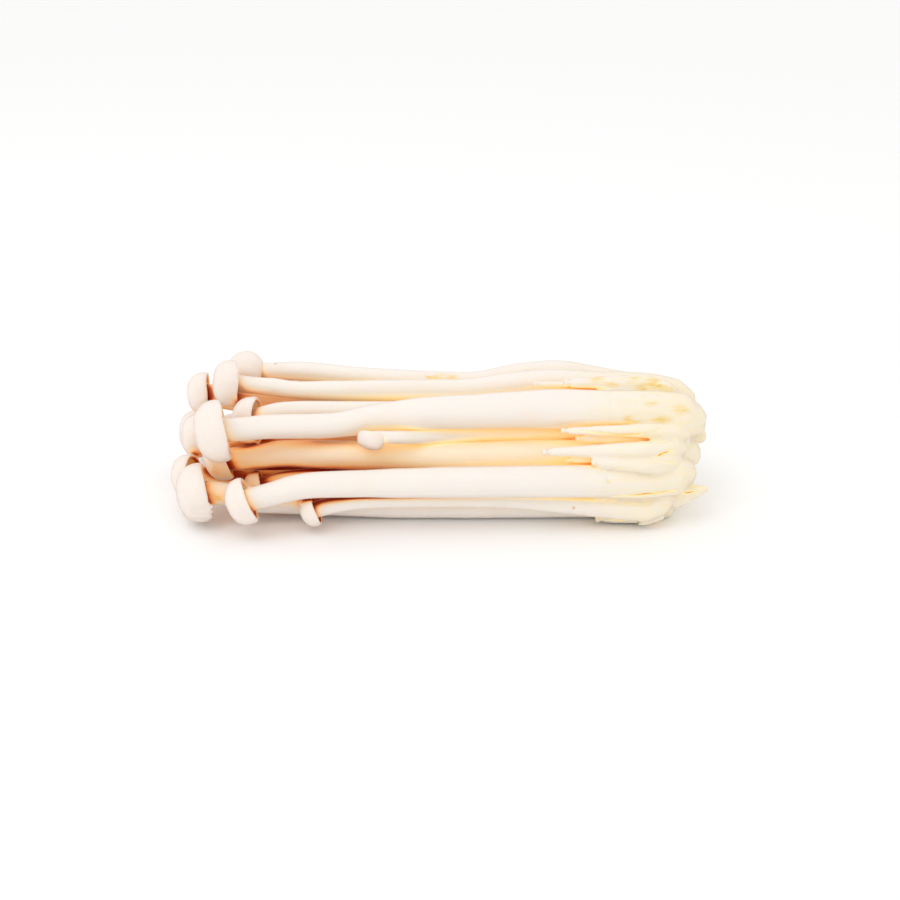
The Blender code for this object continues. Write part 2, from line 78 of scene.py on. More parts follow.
# Ring numbers in a mushroom's solid, counted from the middle of its crown
CAP_EDGE_RING = 3
NECK_RING = 7
CAP_EDGE_RISE = 0.06     # the cap's widest ring lies this far above its gills, in cap radii
CROWN_HEIGHT = 0.84
CAP_WAVE = 0.045         # how far a cap is out of round, and how lumpy it is, in cap radii
CAP_LUMPS = 0.012
CAP_WARP = 0.05          # how far its edge rises and falls
TORN_SPAN = 0.14         # a lip is torn where the cosine of the turn from the tear is above 1 less this
TORN_IN = 0.04           # how far the torn lip stops short, and how deep its teeth are, in cap radii
TORN_TEETH = 0.15

# A cap's section as (share of the way across the gills, depth of a gill) and (radius, rise) in cap radii
GILL_SECTION = ((0.0, 0.01), (0.18, 0.08), (0.4, 0.11), (0.62, 0.10), (0.82, 0.07), (1.0, 0.015))
GILL_EDGE = 0.83
LIP_SECTION = ((0.845, -0.10), (0.87, -0.145), (0.905, -0.17), (0.945, -0.165), (0.98, -0.12),
               (1.003, -0.04), (1.01, 0.04))
DOME_START = 0.08
DOME_FULLNESS = 0.74


def joined_copy(node):
    """A solid's mesh with its loose triangles joined at their corners."""
    bm = bmesh.new()
    bm.from_mesh(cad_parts[node].data)
    bmesh.ops.remove_doubles(bm, verts=bm.verts, dist=ROW_JOIN)
    return bm


def middle(points):
    """The mean of some places."""
    return sum(points, Vector()) / len(points)


def read_mushroom(node):
    """Where a mushroom's cap and stem are: the rings of its solid, from the crown to the seam."""
    bm = joined_copy(node)
    poles = [vert for vert in bm.verts if len(vert.link_edges) > CROWN_POLE_EDGES]
    crown = min(poles, key=lambda vert: vert.co.x)
    rings = [[crown]]
    seen = {crown}
    while rings[-1]:
        beyond = {edge.other_vert(vert) for vert in rings[-1] for edge in vert.link_edges} - seen
        seen |= beyond
        rings.append(sorted(beyond, key=lambda vert: vert.index))
    centres = [middle([vert.co for vert in ring]) for ring in rings[:-1]]
    radii = [sum((vert.co - centre).length for vert in ring) / len(ring)
             for ring, centre in zip(rings, centres)]
    bm.free()
    cap_radius = radii[CAP_EDGE_RING]
    axis = (centres[0] - centres[CAP_EDGE_RING]).normalized()
    return {
        "cap_radius": cap_radius,
        "axis": axis,
        "neck": centres[CAP_EDGE_RING] - axis * (CAP_EDGE_RISE * cap_radius),
        "way": centres[NECK_RING:-1],
        "radii": radii[NECK_RING:-1],
    }


def smooth_way(points, radii, gap):
    """Places and radii every gap or so along one smooth curve through the given points."""
    ends = [points[0]] + list(points) + [points[-1]]
    places = []
    sizes = []
    for index in range(len(points) - 1):
        start, stop = points[index], points[index + 1]
        lean_out = (stop - ends[index]) / 6.0
        lean_in = (ends[index + 3] - start) / 6.0
        count = max(2, round((stop - start).length / gap) + 1)
        run = interpolate_bezier(start, start + lean_out, stop - lean_in, stop, count)
        for step, place in enumerate(run[:-1]):
            share = step / (count - 1)
            ease = share * share * (3.0 - 2.0 * share)
            places.append(place)
            sizes.append(radii[index] + (radii[index + 1] - radii[index]) * ease)
    return places + [points[-1]], sizes + [radii[-1]]


def add_ring(bm, direction, centre, radius, sides):
    """A ring of vertices square to direction, in order round it."""
    turn = direction.to_track_quat("Z", "Y").to_matrix().to_4x4()
    place = Matrix.Translation(centre) @ turn
    return bmesh.ops.create_circle(bm, segments=sides, radius=radius, matrix=place)["verts"]


def ring_edges(ring):
    """The edges that join the vertices of one ring."""
    members = set(ring)
    return list(dict.fromkeys(edge for vert in ring for edge in vert.link_edges
                              if edge.other_vert(vert) in members))


def skin_over(bm, rings):
    """Skin a row of rings, each to the next."""
    for first, second in zip(rings[:-1], rings[1:]):
        bmesh.ops.bridge_loops(bm, edges=ring_edges(first) + ring_edges(second))


def close_over(bm, ring, top):
    """Close a ring with triangles that meet at top."""
    face = bmesh.ops.contextual_create(bm, geom=ring_edges(ring))["faces"]
    bmesh.ops.poke(bm, faces=face)["verts"][0].co = top


def new_flesh():
    """An empty bmesh whose vertices can hold where it is cap or gills, and how closed in it is for painted
    shade.
    """
    bm = bmesh.new()
    for name in ("cap", "gills", "crevice_shade"):
        bm.verts.layers.float.new(name)
    return bm


def mark(bm, ring, name, value):
    """Write a value into a named layer on a ring's vertices."""
    layer = bm.verts.layers.float[name]
    for vert in ring:
        vert[layer] = value


def skin_wave(x, out, seed, lumps=0.05, ripple=0.035):
    """How far a stem stands out at x, towards out, in radii: it grew lumpy and ribbed along its length."""
    slow = noise.noise(Vector((x * 55.0, out.y * 0.8, out.z * 0.8)) + seed)
    ribs = noise.noise(Vector((x * 16.0, out.y * 2.6, out.z * 2.6)) - seed)
    return 1.0 + lumps * slow + ripple * ribs


def seed_of(number):
    """Where in the noise a mushroom's own waves are read."""
    return Vector((7.3 * number, 3.1 * number, 1.7 * number))


def stem_rings(bm, way, sizes, seed):
    """A stem's rings along its way."""
    rings = []
    count = len(way)
    for index, (place, size) in enumerate(zip(way, sizes)):
        direction = (way[max(0, index - 1)] - way[min(count - 1, index + 1)]).normalized()
        ring = add_ring(bm, direction, place, size, STEM_SIDES)
        for vert in ring:
            out = (vert.co - place).normalized()
            vert.co = place + out * size * skin_wave(place.x, out, seed)
            vert.co.z = max(vert.co.z, FLOOR_CLEARANCE)
        rings.append(ring)
    return rings


def cap_section(stem_share):
    """A cap's rings from the stem outwards and over the dome: (radius, rise, gill depth) in cap radii."""
    inner = stem_share + 0.03
    gills = [(inner + (GILL_EDGE - inner) * share, 0.08 - 0.12 * share, depth)
             for share, depth in GILL_SECTION]
    lip = [(out_share, rise, 0.0) for out_share, rise in LIP_SECTION]
    dome = []
    for step in range(1, DOME_RINGS):
        turn = 0.5 * math.pi * step / DOME_RINGS
        rise = DOME_START + (CROWN_HEIGHT - DOME_START) * math.sin(turn)
        dome.append((1.005 * math.cos(turn) ** DOME_FULLNESS, rise, 0.0))
    return gills, lip, dome


def add_cap(bm, read, neck_ring, seed, torn=None):
    """Skin a cap onto a stem's first ring.  torn is the direction in which its lip is torn."""
    cap_radius, axis, neck = read["cap_radius"], read["axis"], read["neck"]
    gills, lip, dome = cap_section(read["radii"][0] / cap_radius)
    rings = []
    for number, (out_share, rise, depth) in enumerate(gills + lip + dome):
        centre = neck + axis * (rise * cap_radius)
        ring = add_ring(bm, axis, centre, out_share * cap_radius, 2 * GILL_COUNT)
        for index, vert in enumerate(ring):
            out = (vert.co - centre).normalized()
            where = out * 1.1 + axis * rise + seed
            wave = 1.0 + CAP_WAVE * noise.noise(where) * min(1.0, out_share + 0.3)
            wave += CAP_LUMPS * noise.noise(where * 3.7)
            lift = CAP_WARP * noise.noise(where * 1.3 + seed) * out_share
            if depth and index % 2:
                lift += depth * (0.8 + 0.4 * noise.noise(out * 9.0 + seed))
            if torn and len(gills) <= number < len(gills) + len(lip) + 3:
                bite = max(0.0, out.dot(torn) - (1.0 - TORN_SPAN)) / TORN_SPAN
                rag = 0.5 + 1.2 * noise.noise(out * 8.0 + seed)
                wave -= TORN_IN * min(1.0, bite * 2.2) * rag
                lift -= TORN_TEETH * min(1.0, bite * 1.8) * rag
            vert.co = centre + out * (out_share * cap_radius * wave) + axis * (lift * cap_radius)
        rings.append(ring)
        mark(bm, ring, "cap", 1.0)
        mark(bm, ring, "gills", 1.0 if number < len(gills) - 1 else 0.0)
    skin_over(bm, [neck_ring] + rings)
    close_over(bm, rings[-1], neck + axis * (CROWN_HEIGHT * cap_radius))


def scar(bm, start, stop, width):
    """Sink and brown the skin along a short wound, given by its ends and width in millimetres."""
    layer = bm.verts.layers.float.new("stain")
    bm.normal_update()
    first = Vector(start) * MM
    run = Vector(stop) * MM - first
    for vert in bm.verts:
        share = min(1.0, max(0.0, (vert.co - first).dot(run) / run.length_squared))
        away = (vert.co - first - share * run).length
        vert[layer] = min(1.0, max(0.0, 1.6 - away / (width * MM)))
        vert.co -= vert.normal * (0.3 * width * MM * vert[layer])


def finished(bm, name):
    """Turn a closed bmesh into a smooth-shaded object whose place is in its mesh."""
    bmesh.ops.recalc_face_normals(bm, faces=bm.faces)
    mesh = bpy.data.meshes.new(name)
    bm.to_mesh(mesh)
    bm.free()
    mesh.shade_smooth()
    made = bpy.data.objects.new(name, mesh)
    bpy.context.scene.collection.objects.link(made)
    return made


def node_in(tree, kind, **values):
    """A node with its settings and input values."""
    made = tree.nodes.new(kind)
    for key, value in values.items():
        if key in made.inputs:
            made.inputs[key].default_value = value
        else:
            setattr(made, key, value)
    return made


def stretched_place(tree, scale):
    """Object coordinates stretched along X, the way that the stems run."""
    place = node_in(tree, "ShaderNodeTexCoord")
    stretch = node_in(tree, "ShaderNodeMapping")
    stretch.inputs["Scale"].default_value = scale
    tree.links.new(place.outputs["Object"], stretch.inputs["Vector"])
    return stretch.outputs["Vector"]


def blend_colours(tree, share, first, second):
    """Mix two colours, each a socket or a value, by a share socket."""
    mix = node_in(tree, "ShaderNodeMix", data_type="RGBA")
    tree.links.new(share, mix.inputs["Factor"])
    for socket, colour in ((mix.inputs[6], first), (mix.inputs[7], second)):
        if isinstance(colour, tuple):
            socket.default_value = colour
        else:
            tree.links.new(colour, socket)
    return mix.outputs[2]


def ramp(tree, source, stops):
    """A colour ramp from a list of (place, colour)."""
    made = node_in(tree, "ShaderNodeValToRGB")
    band = made.color_ramp
    while len(band.elements) < len(stops):
        band.elements.new(0.5)
    for element, (place, colour) in zip(band.elements, stops):
        element.position = place
        element.color = colour
    tree.links.new(source, made.inputs["Fac"])
    return made.outputs["Color"]


def span(tree, source, low, high):
    """How far a value has gone from low to high, from 0 to 1, eased."""
    made = node_in(tree, "ShaderNodeMapRange", interpolation_type="SMOOTHSTEP")
    made.inputs["From Min"].default_value = low
    made.inputs["From Max"].default_value = high
    tree.links.new(source, made.inputs["Value"])
    return made.outputs["Result"]


STAIN_TONE = (0.86, 0.62, 0.18, 1.0)
TAN_TONE = (0.86, 0.74, 0.60, 1.0)
# The gills' cream darkened to tan-orange: partly their own tone, partly painted shade under the cap
GILL_SHADE_TONE = (0.84, 0.60, 0.36, 1.0)
FLECK_TONE = (0.62, 0.34, 0.13, 1.0)
# pinkish-tan painted shade for the silhouettes
SILHOUETTE_SHADE_TONE = (0.70, 0.56, 0.49, 1.0)
FLESH_BUMP = 0.4


def flesh_group():
    """Mushroom flesh: white stems, faintly pink caps, tan gills that are partly painted shade, a yellowed
    foot, and painted shade and a painted warm glow in the crevices.
    """
    group = bpy.data.node_groups.new("mushroom flesh", "ShaderNodeTree")
    for name in ("Stem", "Cap", "Foot"):
        group.interface.new_socket(name, in_out="INPUT", socket_type="NodeSocketColor")
    for name, kind in (("Color", "NodeSocketColor"), ("Painted Glow", "NodeSocketColor"),
                       ("Roughness", "NodeSocketFloat"), ("Height", "NodeSocketFloat")):
        group.interface.new_socket(name, in_out="OUTPUT", socket_type=kind)
    given = node_in(group, "NodeGroupInput")
    result = node_in(group, "NodeGroupOutput")
    links = group.links
    cap = node_in(group, "ShaderNodeAttribute", attribute_name="cap").outputs["Fac"]
    gills = node_in(group, "ShaderNodeAttribute", attribute_name="gills").outputs["Fac"]
    crevice_shade = node_in(group, "ShaderNodeAttribute", attribute_name="crevice_shade").outputs["Fac"]
    place = node_in(group, "ShaderNodeTexCoord")
    axes = node_in(group, "ShaderNodeSeparateXYZ")
    links.new(place.outputs["Object"], axes.inputs["Vector"])

    streaks = node_in(group, "ShaderNodeTexNoise", Scale=1.0, Detail=4.0, Roughness=0.6)
    links.new(stretched_place(group, (45.0, 900.0, 900.0)), streaks.inputs["Vector"])
    clouds = node_in(group, "ShaderNodeTexNoise", Scale=120.0, Detail=3.0, Roughness=0.55)
    links.new(place.outputs["Object"], clouds.inputs["Vector"])
    pores = node_in(group, "ShaderNodeTexNoise", Scale=2600.0, Detail=2.0, Roughness=0.5)
    links.new(place.outputs["Object"], pores.inputs["Vector"])

    yellowing = span(group, axes.outputs["X"], 0.030, 0.076)
    ribs = span(group, streaks.outputs["Fac"], 0.40, 0.66)
    root = node_in(group, "ShaderNodeMath", operation="MULTIPLY")
    links.new(yellowing, root.inputs[0])
    rib_share = node_in(group, "ShaderNodeMapRange")
    rib_share.inputs["To Min"].default_value = 0.45
    links.new(ribs, rib_share.inputs["Value"])
    links.new(rib_share.outputs["Result"], root.inputs[1])

    colour = blend_colours(group, root.outputs["Value"], given.outputs["Stem"], given.outputs["Foot"])
    blotch = node_in(group, "ShaderNodeTexNoise", Scale=1.0, Detail=5.0, Roughness=0.65)
    links.new(stretched_place(group, (120.0, 520.0, 520.0)), blotch.inputs["Vector"])
    stain_spots = span(group, blotch.outputs["Fac"], 0.42, 0.58)
    rubbed = node_in(group, "ShaderNodeAttribute", attribute_name="stain").outputs["Fac"]
    stain = node_in(group, "ShaderNodeMath", operation="MULTIPLY")
    links.new(stain_spots, stain.inputs[0])
    links.new(rubbed, stain.inputs[1])
    colour = blend_colours(group, stain.outputs["Value"], colour, STAIN_TONE)

    tanned = span(group, clouds.outputs["Fac"], 0.46, 0.78)
    soft = node_in(group, "ShaderNodeMath", operation="MULTIPLY")
    soft.inputs[1].default_value = 0.22
    links.new(tanned, soft.inputs[0])
    colour = blend_colours(group, soft.outputs["Value"], colour, TAN_TONE)
    colour = blend_colours(group, cap, colour, given.outputs["Cap"])
    # the gills take a tone that is partly painted shade under the cap
    colour = blend_colours(group, gills, colour, GILL_SHADE_TONE)

    fleck_cells = node_in(group, "ShaderNodeTexVoronoi", Scale=75.0)
    links.new(place.outputs["Object"], fleck_cells.inputs["Vector"])
    fleck_spot = node_in(group, "ShaderNodeMapRange", interpolation_type="SMOOTHSTEP")
    fleck_spot.inputs["From Min"].default_value = 0.05
    fleck_spot.inputs["From Max"].default_value = 0.03
    links.new(fleck_cells.outputs["Distance"], fleck_spot.inputs["Value"])
    fleck = node_in(group, "ShaderNodeMath", operation="MULTIPLY")
    fleck.inputs[1].default_value = 0.55
    links.new(fleck_spot.outputs["Result"], fleck.inputs[0])
    colour = blend_colours(group, fleck.outputs["Value"], colour, FLECK_TONE)

    # Painted shade: caps and gills count as a little less closed in than the stems
    less_shade_on_caps = node_in(group, "ShaderNodeMath", operation="MULTIPLY_ADD")
    less_shade_on_caps.inputs[1].default_value = -0.10
    links.new(cap, less_shade_on_caps.inputs[0])
    links.new(crevice_shade, less_shade_on_caps.inputs[2])
    less_shade_on_gills = node_in(group, "ShaderNodeMath", operation="MULTIPLY_ADD")
    less_shade_on_gills.inputs[1].default_value = -0.14
    links.new(gills, less_shade_on_gills.inputs[0])
    links.new(less_shade_on_caps.outputs["Value"], less_shade_on_gills.inputs[2])
    closed = less_shade_on_gills.outputs["Value"]
    towards_foot = node_in(group, "ShaderNodeMath", operation="MULTIPLY_ADD")
    towards_foot.inputs[1].default_value = 2.5
    links.new(axes.outputs["Z"], towards_foot.inputs[0])
    links.new(axes.outputs["X"], towards_foot.inputs[2])
    footward = span(group, towards_foot.outputs["Value"], 0.0, 0.055)
    # Painted shade: the colour is multiplied darker and warmer the more closed in a point is, with gentler
    # ramps towards the foot
    caps_painted_shade = ramp(group, closed, (
        (0.0, (1.0, 1.0, 1.0, 1.0)), (0.22, (1.0, 0.99, 0.97, 1.0)), (0.34, (1.0, 0.94, 0.82, 1.0)),
        (0.43, (1.0, 0.80, 0.52, 1.0)), (0.50, (0.95, 0.50, 0.20, 1.0)), (0.56, (0.55, 0.12, 0.03, 1.0)),
        (0.66, (0.28, 0.03, 0.01, 1.0))))
    foot_painted_shade = ramp(group, closed, (
        (0.0, (1.0, 1.0, 1.0, 1.0)), (0.35, (1.0, 0.985, 0.93, 1.0)), (0.57, (1.0, 0.93, 0.72, 1.0)),
        (0.72, (1.0, 0.84, 0.48, 1.0)), (0.84, (0.92, 0.56, 0.20, 1.0)), (1.0, (0.55, 0.12, 0.02, 1.0))))
    painted_shade_mix = node_in(group, "ShaderNodeMix", data_type="RGBA", blend_type="MULTIPLY")
    painted_shade_mix.inputs["Factor"].default_value = 1.0
    links.new(colour, painted_shade_mix.inputs[6])
    links.new(blend_colours(group, footward, caps_painted_shade, foot_painted_shade), painted_shade_mix.inputs[7])
    links.new(painted_shade_mix.outputs[2], result.inputs["Color"])
    # Painted glow: an orange emission in the deeper gaps, where no lamp is
    caps_painted_glow = ramp(group, closed, (
        (0.22, (0.0, 0.0, 0.0, 1.0)), (0.40, (0.14, 0.07, 0.015, 1.0)), (0.50, (0.15, 0.04, 0.0, 1.0)),
        (0.60, (0.05, 0.002, 0.0, 1.0))))
    foot_painted_glow = ramp(group, closed, (
        (0.34, (0.0, 0.0, 0.0, 1.0)), (0.57, (0.17, 0.15, 0.08, 1.0)), (0.72, (0.28, 0.22, 0.10, 1.0)),
        (0.84, (0.28, 0.13, 0.02, 1.0)), (1.0, (0.10, 0.01, 0.0, 1.0))))
    links.new(blend_colours(group, footward, caps_painted_glow, foot_painted_glow), result.inputs["Painted Glow"])

    rough = node_in(group, "ShaderNodeMapRange")
    rough.inputs["To Min"].default_value = 0.36
    rough.inputs["To Max"].default_value = 0.58
    links.new(clouds.outputs["Fac"], rough.inputs["Value"])
    links.new(rough.outputs["Result"], result.inputs["Roughness"])

    grain = node_in(group, "ShaderNodeMath", operation="MULTIPLY_ADD")
    grain.inputs[1].default_value = 0.25
    links.new(pores.outputs["Fac"], grain.inputs[0])
    links.new(streaks.outputs["Fac"], grain.inputs[2])
    links.new(grain.outputs["Value"], result.inputs["Height"])
    return group


FLESH = flesh_group()


def flesh_material(name, stem, cap, foot):
    """Translucent, faintly waxy flesh in one set of tones, with painted shade at its silhouettes and a
    painted glow in its crevices.
    """
    material = bpy.data.materials.new(name)
    material.use_nodes = True
    tree = material.node_tree
    shader = tree.nodes["Principled BSDF"]
    tones = tree.nodes.new("ShaderNodeGroup")
    tones.node_tree = FLESH
    tones.inputs["Stem"].default_value = stem
    tones.inputs["Cap"].default_value = cap
    tones.inputs["Foot"].default_value = foot
    relief = node_in(tree, "ShaderNodeBump", Strength=FLESH_BUMP, Distance=0.25 * MM)
    # Painted shade: the flesh turns pinkish-tan where its surface turns away from the camera
    edge = node_in(tree, "ShaderNodeLayerWeight", Blend=0.35)
    painted_rim_shade = span(tree, edge.outputs["Facing"], 0.30, 1.05)
    colour = blend_colours(tree, painted_rim_shade, tones.outputs["Color"], SILHOUETTE_SHADE_TONE)
    tree.links.new(colour, shader.inputs["Base Color"])
    # Painted glow: the crevices' glow is fed in as emission
    tree.links.new(tones.outputs["Painted Glow"], shader.inputs["Emission Color"])
    shader.inputs["Emission Strength"].default_value = 1.0
    tree.links.new(tones.outputs["Roughness"], shader.inputs["Roughness"])
    tree.links.new(tones.outputs["Height"], relief.inputs["Height"])
    tree.links.new(relief.outputs["Normal"], shader.inputs["Normal"])
    shader.inputs["Subsurface Weight"].default_value = 0.3
    shader.inputs["Subsurface Radius"].default_value = (1.0, 0.62, 0.36)
    shader.inputs["Subsurface Scale"].default_value = 0.9 * MM
    shader.inputs["IOR"].default_value = 1.38
    shader.inputs["Specular IOR Level"].default_value = 0.4
    return material


STEM_TONE = (0.87, 0.81, 0.75, 1.0)
CAP_TONE = (0.87, 0.785, 0.715, 1.0)
FOOT_TONE = (0.90, 0.79, 0.54, 1.0)

white_flesh = flesh_material("white flesh", STEM_TONE, CAP_TONE, FOOT_TONE)
# A darker, warmer copy of the flesh: painted shade for the stems that lie in the bunch's shade
painted_shade_flesh = flesh_material("shaded flesh", (0.96, 0.81, 0.64, 1.0), (0.91, 0.80, 0.68, 1.0),
                              (0.94, 0.84, 0.62, 1.0))

# Wounds that the photographed side shows: where each starts and stops, and its width, in millimetres
SCARS = {
    "mushroom_back_top": ((-1.2, 15.6, 32.9), (5.8, 15.0, 32.8), 1.0),
    "mushroom_front_low": ((-62.6, -22.9, 10.0), (-60.6, -22.7, 8.0), 0.6),
    "mushroom_young": ((-18.3, -20.5, 28.0), (-18.5, -20.0, 26.4), 0.5),
}

TORN_NODE = "mushroom_front_low"
TORN_WAY = Vector((0.2, -0.85, -0.45)).normalized()
# These stems take the painted-shade copy of the flesh
SHADED_NODES = ("mushroom_shaded", "mushroom_in_gap")

mushroom_nodes = sorted(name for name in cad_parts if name.startswith("mushroom_"))
grown = {}
reads = {}
for number, node in enumerate(mushroom_nodes):
    read = read_mushroom(node)
    reads[node] = read
    seed = seed_of(number)
    radii = [radius + PLUMP for radius in read["radii"]]
    way, sizes = smooth_way(read["way"], radii, STEM_RING_GAP)
    read["curve"] = np.array([[*place, size] for place, size in zip(way, sizes)])
    sizes[0] = read["radii"][0]
    for index, place in enumerate(way):
        sunk = 1.0 - min(1.0, (way[-1].x - place.x) / SEAM_LENGTH)
        sizes[index] -= SEAM_DIP * sunk * sunk
    bm = new_flesh()
    rings = stem_rings(bm, way, sizes, seed)
    skin_over(bm, rings)
    close_over(bm, rings[-1], way[-1])
    add_cap(bm, read, rings[0], seed, TORN_WAY if node == TORN_NODE else None)
    if node in SCARS:
        scar(bm, *SCARS[node])
    piece = finished(bm, node.replace("mushroom_", "shimeji_"))
    shaded = node in SHADED_NODES
    piece.data.materials.append(painted_shade_flesh if shaded else white_flesh)
    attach(piece, "root")
    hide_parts(node)
    grown[node] = piece


# The foot
# The stems' root ends, grown into one ribbed, yellowed mass and torn off the block that they grew on.
# Button mushrooms that never rose lie in its grooves, and a pointed shred stands out of its torn end.

CAPWARD = Vector((-1.0, 0.0, 0.0))
ROOT_SIDES = 40
ROOT_RING_GAP = 0.9 * MM
SWELL_START = 60.9 * MM      # where the root ends begin to swell and meet
FOOT_END = 79.4 * MM         # furthest reach of the torn end
FOOT_ROUNDING = 8.0 * MM     # how much earlier its edge stops
FOOT_GATHER = 0.24           # root ends lean in to the middle by this share
FOOT_SINK = 0.5 * MM
FOOT_MIDDLE = Vector((68.9 * MM, -1.3 * MM, 18.0 * MM))
END_MIDDLE = Vector((0.0, -3.3 * MM, 22.0 * MM))
END_REACH = (26.0 * MM, 22.0 * MM)
END_RAGGED = (-1.5, 0.8)
CORE_REACH = (8.6, 19.0, 13.5)   # of the foot's solid middle, in millimetres
ROOT_SECTIONS = ((0.35, 1.14, 0.25), (0.75, 1.12, 0.6), (1.0, 0.8, 1.0))   # way along, swelling, lean
ROOT_UNEVEN = 0.07
RIBS_GROW = 9.0 * MM         # over which the ribs of a root end rise
ROOT_TIP = ((0.86, 0.20), (0.62, 0.36), (0.32, 0.48))
BUTTON_SIDES = 16
BUTTON_ROOT_END = -2.0 * MM
BUTTON_ROOT = 2.5 * MM
BUTTON_RIBS = 12.0 * MM      # how far from its head a button's rib turns ribbed
BUTTON_HEAD = ((0.45, -0.3), (0.80, -0.15), (0.97, 0.1), (1.0, 0.4), (0.93, 0.75), (0.72, 1.0), (0.5, 1.1))
BUTTON_HEAD_SIZE = 0.85
SHRED_RING_GAP = 0.8 * MM
GRAIN = 0.45 * MM            # size of the fused mass's faces
SMOOTHINGS = 3
CRACK_WIDTH = 0.9 * MM
CRACK_DEPTH = 0.55 * MM

# How buttons are found in the foot's solid: it is cut every slice, and thin sections close to each other in
# a row of slices are one button
SLICE = 0.7 * MM
FIRST_SLICE = 0.3 * MM
THIN = 2.7 * MM
SAME_PLACE = 1.5 * MM
SHORTEST_ROW = 8         # a row with no more slices than this is no button
SECTION_STEP = 6         # every sixth slice shapes the finer button


def root_end_x(node, y, z):
    """Where a root end stops: the outer ones stop earlier, so the torn end is rounded."""
    out = math.hypot((y - END_MIDDLE.y) / END_REACH[0], (z - END_MIDDLE.z) / END_REACH[1])
    ragged = random.Random("end of " + node).uniform(*END_RAGGED) * MM
    return FOOT_END + ragged - FOOT_ROUNDING * min(1.2, out) ** 2


def root_sections(name, met, radius, stop_x):
    """The places and radii of a root end that swells, leans inwards and ends."""
    rng = random.Random(name)
    points = []
    sizes = []
    for share, swell, gather in ROOT_SECTIONS:
        size = radius * swell * (1.0 + rng.uniform(-ROOT_UNEVEN, ROOT_UNEVEN))
        place = met.lerp(FOOT_MIDDLE, gather * FOOT_GATHER)
        place.x = met.x + (stop_x - met.x) * share
        if share < 1.0 and met.z < 1.4 * radius:
            place.z = size - FOOT_SINK
        points.append(place)
        sizes.append(size)
    return points, sizes


def root_rings(way, radii, seed, sides, ribbed_from):
    """Ribbed rings along a root end's way, and rounded ones over its torn tip."""
    bm = new_flesh()
    rings = []
    for place, radius in zip(way, radii):
        ribbed = min(1.0, max(0.0, (place.x - ribbed_from) / RIBS_GROW))
        ring = add_ring(bm, CAPWARD, place, radius, sides)
        for vert in ring:
            out = (vert.co - place).normalized()
            fine = noise.noise(Vector((place.x * 30.0, out.y * 6.5, out.z * 6.5)) + seed)
            wave = skin_wave(place.x, out, seed, 0.05, 0.035 + 0.05 * ribbed) + 0.035 * ribbed * fine
            vert.co = place + out * (radius * wave)
        rings.append(ring)
    for share, along in ROOT_TIP:
        ring = add_ring(bm, CAPWARD, way[-1], radii[-1] * share, sides)
        for vert in ring:
            out = (vert.co - way[-1]).normalized()
            rough = noise.noise(out * 2.5 * share + seed)
            vert.co.x += radii[-1] * (along + 0.16 * rough)
        rings.append(ring)
    skin_over(bm, rings)
    close_over(bm, rings[0], way[0])
    close_over(bm, rings[-1], way[-1] + Vector((0.5 * radii[-1], 0.0, 0.0)))
    return bm


def stem_at(read, x):
    """A stem's middle and radius at x, also a little past its seam, as numpy rows."""
    curve = read["curve"]
    run = (curve[-1] - curve[-4]) / (curve[-1, 0] - curve[-4, 0])
    run[3] = 0.0
    rows = np.stack([np.interp(x, curve[:, 0], curve[:, axis]) for axis in range(4)], axis=-1)
    rows += run * np.maximum(0.0, x - curve[-1, 0])[..., None]
    return rows


def root_end(node, read, seed):
    """One ribbed root end, from a little before its stem's seam to its torn tip."""
    radius = read["radii"][-1]
    last = read["way"][-1]
    sections = stem_at(read, np.array([last.x - SEAM_LENGTH, last.x, SWELL_START]))
    met = Vector(sections[2, :3])
    points, sizes = root_sections(node, met, radius, root_end_x(node, met.y, met.z))
    points = [Vector(row[:3]) for row in sections] + points
    sizes = [row[3] for row in sections] + [size + PLUMP for size in sizes]
    way, radii = smooth_way(points, sizes, ROOT_RING_GAP)
    return root_rings(way, radii, seed, ROOT_SIDES, last.x)


def small_sections(bm, x):
    """Centres of the thin things that a solid is cut through at x, with their radii."""
    cut = bmesh.ops.bisect_plane(bm, geom=bm.verts[:] + bm.edges[:] + bm.faces[:], dist=1e-7,
                                 plane_co=(x, 0.0, 0.0), plane_no=(1.0, 0.0, 0.0))["geom_cut"]
    left = dict.fromkeys(vert for vert in cut if isinstance(vert, bmesh.types.BMVert))
    found = []
    while left:
        loop = [left.popitem()[0]]
        for vert in loop:
            for edge in vert.link_edges:
                other = edge.other_vert(vert)
                if other in left:
                    del left[other]
                    loop.append(other)
        centre = middle([vert.co for vert in loop])
        radius = max((vert.co - centre).length for vert in loop)
        if radius < THIN:
            found.append((centre, radius))
    return found


def is_root_end(centre):
    """Whether a section of the foot belongs to a stem's root end."""
    for read in reads.values():
        beside = Vector(stem_at(read, np.array(centre.x))[:3]) - centre
        if centre.x > read["way"][-1].x and beside.length < SAME_PLACE:
            return True
    return False


def read_buttons():
    """The ways of the button mushrooms, followed from slice to slice of the foot's solid."""
    bm = joined_copy("foot")
    first_x = min(vert.co.x for vert in bm.verts)
    buttons = []
    for x in np.arange(first_x + FIRST_SLICE, SWELL_START, SLICE):
        for centre, radius in small_sections(bm, x):
            if is_root_end(centre):
                continue
            near = [way for way in buttons if (way[-1][0] - centre).length < SAME_PLACE]
            if near:
                min(near, key=lambda way: (way[-1][0] - centre).length).append((centre, radius))
            else:
                buttons.append([(centre, radius)])
    bm.free()
    return [way for way in buttons if len(way) > SHORTEST_ROW]


